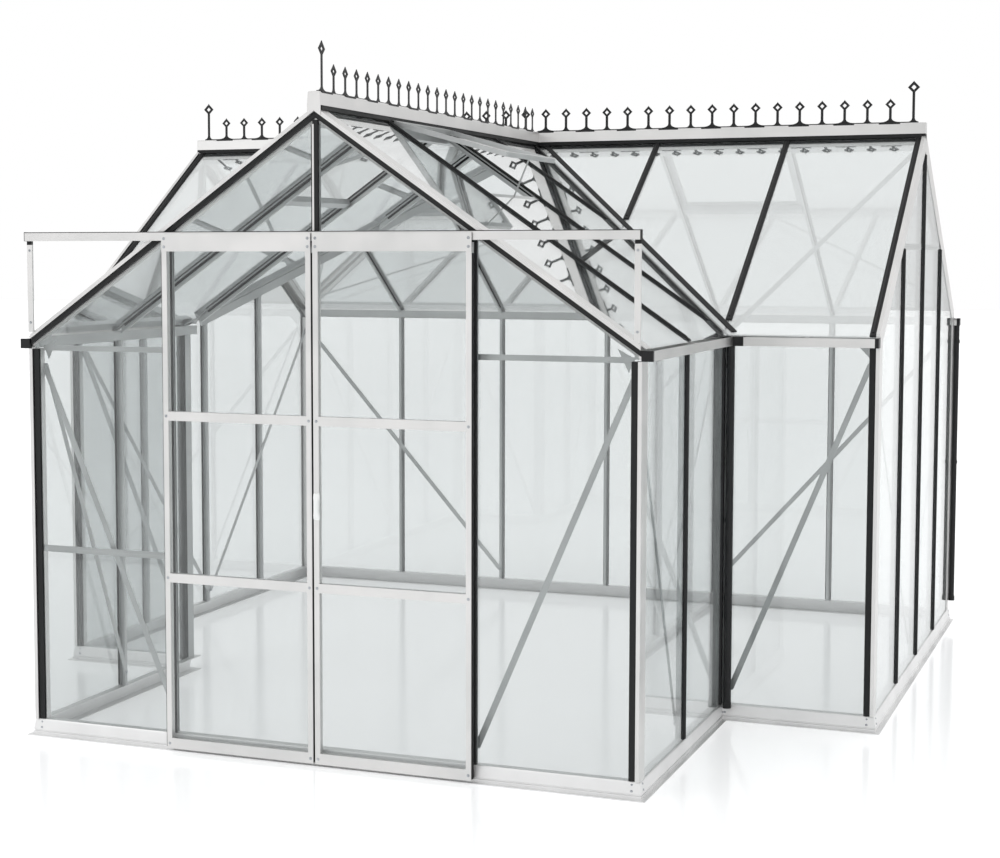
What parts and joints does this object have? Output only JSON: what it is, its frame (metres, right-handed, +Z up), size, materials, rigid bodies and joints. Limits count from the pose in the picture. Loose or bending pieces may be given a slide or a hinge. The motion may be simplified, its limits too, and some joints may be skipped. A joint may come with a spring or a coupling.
{
  "type": "glass greenhouse",
  "caption": "T-shaped cross-ridge aluminium greenhouse with a projecting front wing, sliding double door on a top track, roof vents, gutters and an ornamental ridge crest",
  "frame": {"origin": "on the ground in the middle of the doorway, in the plane of the front wall's outer frame face", "axes": "+X to the right seen from the front, +Y into the house, +Z up"},
  "size_m": [3.912, 3.9489, 2.784],
  "materials": {
    "aluminium_bars": "mill finish, satin",
    "base_aluminium": "mill finish, satin",
    "aluminium_trim": "mill finish, satin",
    "black_capping": "satin extruded capping strip",
    "black_plastic": "moulded, low sheen",
    "black_enamel": "black powder coat",
    "handle_plastic": "white moulded",
    "clear_glass": "clear 3 mm toughened"
  },
  "bodies": {
    "frame": {"base_front": "base_aluminium", "base_wing_sides": "base_aluminium", "base_main_fronts": "base_aluminium", "base_gables": "base_aluminium", "base_rear": "base_aluminium", "corner_posts": "aluminium_trim", "inner_corner_posts": "aluminium_bars", "front_wall_bars": "aluminium_bars", "wing_wall_bars": "aluminium_bars", "gable_wall_bars": "aluminium_bars", "rear_wall_bars": "aluminium_bars", "eave_beams": "aluminium_bars", "front_rakes": "aluminium_trim", "main_rakes": "aluminium_trim", "main_ridge_beam": "aluminium_bars", "wing_ridge_beam": "aluminium_bars", "ridge_seals": "black_capping", "main_ridge_cap": "aluminium_trim", "wing_ridge_cap": "aluminium_trim", "main_rafters": "aluminium_bars", "wing_rafters": "aluminium_bars", "valley_bars": "aluminium_bars", "valley_flashings": "aluminium_bars", "wall_capping": "black_capping", "roof_capping": "black_capping", "glass_front_wall": "clear_glass", "glass_wing_walls": "clear_glass", "glass_main_fronts": "clear_glass", "glass_gables": "clear_glass", "glass_rear_wall": "clear_glass", "glass_main_roof": "clear_glass", "glass_wing_roof": "clear_glass", "gutters": "aluminium_trim", "gutter_fittings": "black_plastic", "downpipes": "black_plastic", "wall_braces": "aluminium_bars", "roof_braces": "aluminium_bars", "gusset_plates": "aluminium_bars", "roof_vent_frames": "aluminium_bars", "roof_vent_sills": "aluminium_bars", "roof_vent_glass": "clear_glass", "roof_vent_stays": "aluminium_bars", "crest_main": "black_enamel", "crest_wing": "black_enamel", "door_track": "aluminium_trim", "track_struts": "aluminium_trim"},
    "door_left": {"door_left_leaf": "aluminium_trim", "door_left_glass": "clear_glass"},
    "door_right": {"door_right_leaf": "aluminium_trim", "door_right_glass": "clear_glass", "door_handle": "handle_plastic"}
  },
  "joints": [
    {"name": "door_left_slide", "type": "slide", "parent": "frame", "child": "door_left", "axis": [-1, 0, 0], "range_m": [0, 0.6]},
    {"name": "door_right_slide", "type": "slide", "parent": "frame", "child": "door_right", "axis": [1, 0, 0], "range_m": [0, 0.6]}
  ]
}
